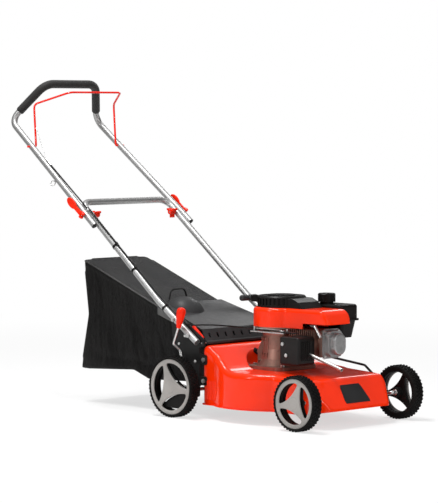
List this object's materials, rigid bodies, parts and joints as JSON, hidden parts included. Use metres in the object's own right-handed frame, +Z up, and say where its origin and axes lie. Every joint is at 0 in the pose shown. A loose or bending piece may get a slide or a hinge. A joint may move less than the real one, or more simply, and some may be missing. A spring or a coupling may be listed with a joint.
{
  "type": "push lawn mower",
  "caption": "Petrol rotary lawn mower on height-set wheels, with a pressed deck, upright-shaft engine, folding tube handle, stop bail, rear flap and slide-off grass bag.",
  "frame": {"origin": "on the ground under the middle of the bounding box", "axes": "+X forward, the way it is pushed, +Y to the operator's left, +Z up"},
  "size_m": [1.5047, 0.532, 1.1165],
  "materials": {
    "red_paint": "gloss",
    "black_paint": "satin",
    "tube_silver": "satin",
    "zinc": "satin",
    "casting": "rough cast",
    "cover_metal": "satin",
    "blade_steel": "satin",
    "red_plastic": "gloss",
    "red_rod": "gloss",
    "black_plastic": "matte",
    "dark_plastic": "matte",
    "grey_plastic": "satin",
    "tyre_black": "matte",
    "foam": "matte",
    "fabric": "woven",
    "cable_sheath": "satin",
    "rope": "braided"
  },
  "bodies": {
    "mower": {"deck": "red_paint", "side_plates": "black_paint", "handle_bolts": "zinc", "axle_bushes": "black_plastic", "flap_hinge_rod": "zinc", "lower_handle": "tube_silver", "control_cable_lower": "cable_sheath", "cable_clips": "black_plastic", "crankcase": "casting", "cylinder_block": "casting", "valve_cover": "cover_metal", "muffler": "black_paint", "exhaust_pipe": "zinc", "blower_shroud": "red_paint", "recoil_cover": "black_plastic", "fuel_tank": "black_plastic", "carburettor": "casting", "air_cleaner": "black_plastic", "spark_plug": "zinc", "engine_bolts": "zinc", "brake_bracket": "zinc", "starter_rope": "rope"},
    "rear_axle": {"rear_axle": "zinc", "rear_height_lever": "black_paint", "rear_lever_grip": "red_plastic"},
    "front_axle": {"front_axle": "zinc", "front_height_lever": "black_paint"},
    "wheel_front_right": {"wheel_front_right": "tyre_black", "hub_cap_front_right": "grey_plastic"},
    "wheel_front_left": {"wheel_front_left": "tyre_black", "hub_cap_front_left": "grey_plastic"},
    "wheel_rear_right": {"wheel_rear_right": "tyre_black", "hub_cap_rear_right": "grey_plastic"},
    "wheel_rear_left": {"wheel_rear_left": "tyre_black", "hub_cap_rear_left": "grey_plastic"},
    "upper_handle": {"upper_handle": "tube_silver", "foam_grip": "foam", "rope_guide": "zinc", "cable_ferrule": "zinc", "control_cable_upper": "cable_sheath", "cam_bolts": "zinc", "cam_knobs": "red_plastic"},
    "cam_lever_right": {"cam_lever_right": "red_plastic"},
    "cam_lever_left": {"cam_lever_left": "red_plastic"},
    "bail": {"bail_lever": "red_rod", "bail_wire": "zinc"},
    "brake_lever": {"brake_lever": "black_paint"},
    "brake_link": {"brake_link": "zinc"},
    "flap": {"rear_flap": "dark_plastic"},
    "bag": {"bag_fabric": "fabric", "bag_frame": "black_paint", "bag_lid": "dark_plastic"},
    "fuel_cap": {"fuel_cap": "black_plastic"},
    "starter_handle": {"starter_handle": "dark_plastic"},
    "starter_drum": {"starter_drum": "black_plastic"},
    "crank": {"crankshaft": "blade_steel", "flywheel": "casting", "blade_boss": "blade_steel", "blade": "blade_steel", "blade_bolt": "zinc"}
  },
  "joints": [
    {"name": "rear_height", "type": "hinge", "parent": "mower", "child": "rear_axle", "pos_m": [0.15637, 0, 0.0915], "axis": [0, -1, 0], "range_deg": [0, 25]},
    {"name": "front_height", "type": "hinge", "parent": "mower", "child": "front_axle", "pos_m": [0.61437, 0, 0.079], "axis": [0, 1, 0], "range_deg": [0, 25]},
    {"name": "wheel_front_right_spin", "type": "hinge", "parent": "front_axle", "child": "wheel_front_right", "pos_m": [0.66337, -0.245, 0.089], "axis": [0, 1, 0], "continuous": true},
    {"name": "wheel_rear_right_spin", "type": "hinge", "parent": "rear_axle", "child": "wheel_rear_right", "pos_m": [0.10737, -0.245, 0.1015], "axis": [0, 1, 0], "continuous": true},
    {"name": "wheel_front_left_spin", "type": "hinge", "parent": "front_axle", "child": "wheel_front_left", "pos_m": [0.66337, 0.245, 0.089], "axis": [0, 1, 0], "continuous": true},
    {"name": "wheel_rear_left_spin", "type": "hinge", "parent": "rear_axle", "child": "wheel_rear_left", "pos_m": [0.10737, 0.245, 0.1015], "axis": [0, 1, 0], "continuous": true},
    {"name": "handle_fold", "type": "hinge", "parent": "mower", "child": "upper_handle", "pos_m": [-0.33863, 0, 0.65352], "axis": [0, 1, 0], "range_deg": [0, 145]},
    {"name": "cam_lever_right_open", "type": "hinge", "parent": "upper_handle", "child": "cam_lever_right", "pos_m": [-0.33863, -0.24625, 0.65352], "axis": [0.6103, 0, 0.7922], "range_deg": [0, 130]},
    {"name": "cam_lever_left_open", "type": "hinge", "parent": "upper_handle", "child": "cam_lever_left", "pos_m": [-0.33863, 0.24625, 0.65352], "axis": [-0.6103, 0, -0.7922], "range_deg": [0, 130]},
    {"name": "bail_squeeze", "type": "hinge", "parent": "upper_handle", "child": "bail", "pos_m": [-0.63663, 0, 0.88309], "axis": [0, -1, 0], "range_deg": [0, 26], "stiffness_Nm_per_rad": 3, "springref_deg": -57.3, "deforming": ["bail_wire"]},
    {"name": "brake_turn", "type": "hinge", "parent": "mower", "child": "brake_lever", "pos_m": [0.46037, -0.077, 0.293], "axis": [0, 0, -1], "range_deg": [0, 23]},
    {"name": "brake_pull", "type": "slide", "parent": "mower", "child": "brake_link", "axis": [-1, 0, 0], "range_m": [0, 0.0081]},
    {"name": "flap_open", "type": "hinge", "parent": "mower", "child": "flap", "pos_m": [0.19137, 0, 0.247], "axis": [0, -1, 0], "range_deg": [-54, 0], "stiffness_Nm_per_rad": 1.2, "springref_deg": 68.75},
    {"name": "bag_slide", "type": "slide", "parent": "mower", "child": "bag", "axis": [-1, 0, 0], "range_m": [0, 0.45]},
    {"name": "starter_pull", "type": "slide", "parent": "mower", "child": "starter_handle", "axis": [-0.9, 0, 0.4359], "range_m": [0, 0.5], "stiffness_N_per_m": 12, "springref_m": -0.6, "deforming": ["starter_rope"]},
    {"name": "starter_drum_turn", "type": "hinge", "parent": "mower", "child": "starter_drum", "pos_m": [0.36437, 0, 0.391], "axis": [0, 0, -1], "range_deg": [0, 1030]},
    {"name": "fuel_cap_turn", "type": "hinge", "parent": "mower", "child": "fuel_cap", "pos_m": [0.47437, 0.098, 0.397], "axis": [0, 0, 1], "range_deg": [0, 120]},
    {"name": "crank_spin", "type": "hinge", "parent": "mower", "child": "crank", "pos_m": [0.36437, 0, 0.25], "axis": [0, 0, 1], "continuous": true}
  ],
  "couplings": [
    {"joint": "brake_turn", "follows": "bail_squeeze", "ratio": 0.88077},
    {"joint": "brake_pull", "follows": "bail_squeeze", "m_per_rad": 0.017629},
    {"joint": "starter_drum_turn", "follows": "starter_pull", "rad_per_m": 35.714}
  ]
}
